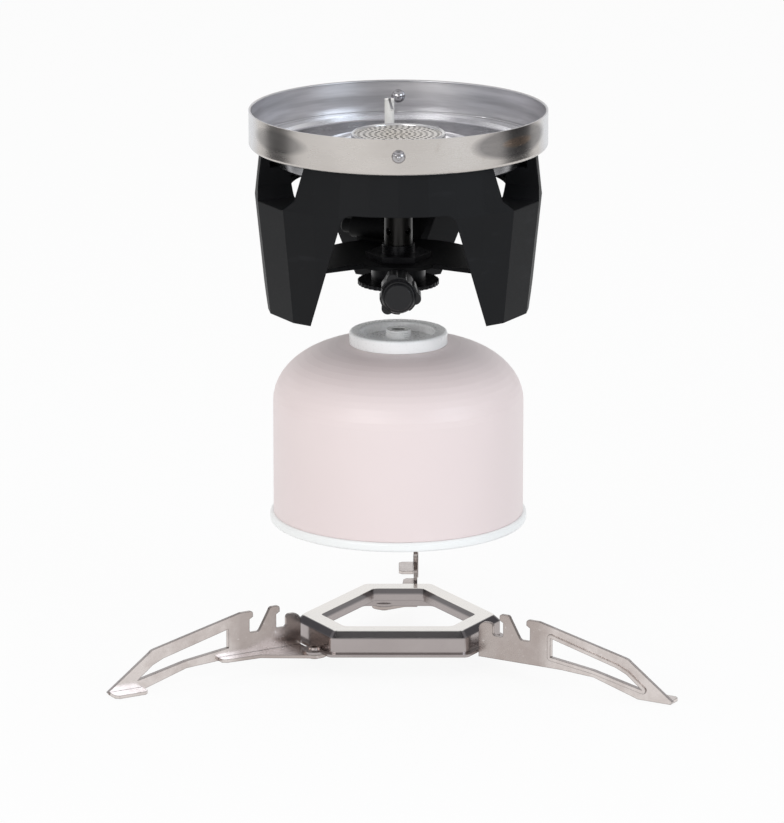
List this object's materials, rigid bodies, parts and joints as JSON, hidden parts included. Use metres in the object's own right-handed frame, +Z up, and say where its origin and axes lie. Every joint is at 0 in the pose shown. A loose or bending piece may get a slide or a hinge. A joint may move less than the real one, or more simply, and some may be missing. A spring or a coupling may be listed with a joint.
{
  "type": "camping stove",
  "caption": "Gas camping stove: burner head with pot ring, gas canister and folding canister stand, shown lifted apart.",
  "frame": {"origin": "on the ground, on the common axis of stand, canister and burner", "axes": "+Z up along that axis; the valve's knob faces -Y and one leg of the stand points to +Y"},
  "size_m": [0.2407, 0.2135, 0.2403],
  "materials": {
    "stand_steel": "warm satin stainless steel",
    "ring_steel": "satin stainless steel",
    "burner_steel": "pressed stainless steel",
    "shroud_plastic": "fine matte",
    "knob_plastic": "satin",
    "valve_black": "black anodised",
    "brass": "turned",
    "seal_rubber": "matte",
    "screw_steel": "plated",
    "ceramic": "glazed",
    "can_pink": "pale satin paint",
    "can_white": "white satin"
  },
  "bodies": {
    "stand": {"stand_frame": "stand_steel", "leg_rivets": "stand_steel"},
    "left_leg": {"leg_left": "stand_steel"},
    "right_leg": {"leg_right": "stand_steel"},
    "back_leg": {"leg_back": "stand_steel"},
    "canister": {"canister_can": "can_pink", "canister_base": "can_white", "canister_collar": "can_white", "canister_nipple": "can_white", "canister_seal": "seal_rubber"},
    "burner": {"pot_ring": "ring_steel", "ring_studs": "ring_steel", "flame_dish": "burner_steel", "burner_cup": "burner_steel", "burner_plate": "burner_steel", "mixing_tube": "burner_steel", "gas_jet": "brass", "shroud": "shroud_plastic", "base_plate": "shroud_plastic", "plate_screws": "screw_steel", "valve_body": "valve_black", "valve_flange": "valve_black", "valve_seal": "seal_rubber", "electrode_ceramic": "ceramic", "electrode_wire": "screw_steel", "igniter_body": "knob_plastic"},
    "valve_knob": {"spindle": "brass", "knob": "knob_plastic", "knob_cap": "knob_plastic"},
    "igniter_push": {"igniter_button": "knob_plastic"}
  },
  "joints": [
    {"name": "fold_left", "type": "hinge", "parent": "stand", "child": "left_leg", "pos_m": [-0.03587, -0.02787, 0.0088], "axis": [0, 0, 1], "range_deg": [0, 144]},
    {"name": "fold_right", "type": "hinge", "parent": "stand", "child": "right_leg", "pos_m": [0.04207, -0.01713, 0.0088], "axis": [0, 0, 1], "range_deg": [0, 144]},
    {"name": "fold_back", "type": "hinge", "parent": "stand", "child": "back_leg", "pos_m": [-0.0062, 0.045, 0.0088], "axis": [0, 0, 1], "range_deg": [0, 144]},
    {"name": "canister_lower", "type": "slide", "parent": "stand", "child": "canister", "axis": [0, 0, 1], "range_m": [-0.0321, 0]},
    {"name": "burner_lower", "type": "slide", "parent": "canister", "child": "burner", "axis": [0, 0, 1], "range_m": [-0.0203, 0]},
    {"name": "knob_turn", "type": "hinge", "parent": "burner", "child": "valve_knob", "pos_m": [0, -0.04, 0.169], "axis": [0, -1, 0], "range_deg": [0, 540]},
    {"name": "igniter_press", "type": "slide", "parent": "burner", "child": "igniter_push", "axis": [0.866, -0.5, 0], "range_m": [0, 0.004], "stiffness_N_per_m": 400}
  ]
}
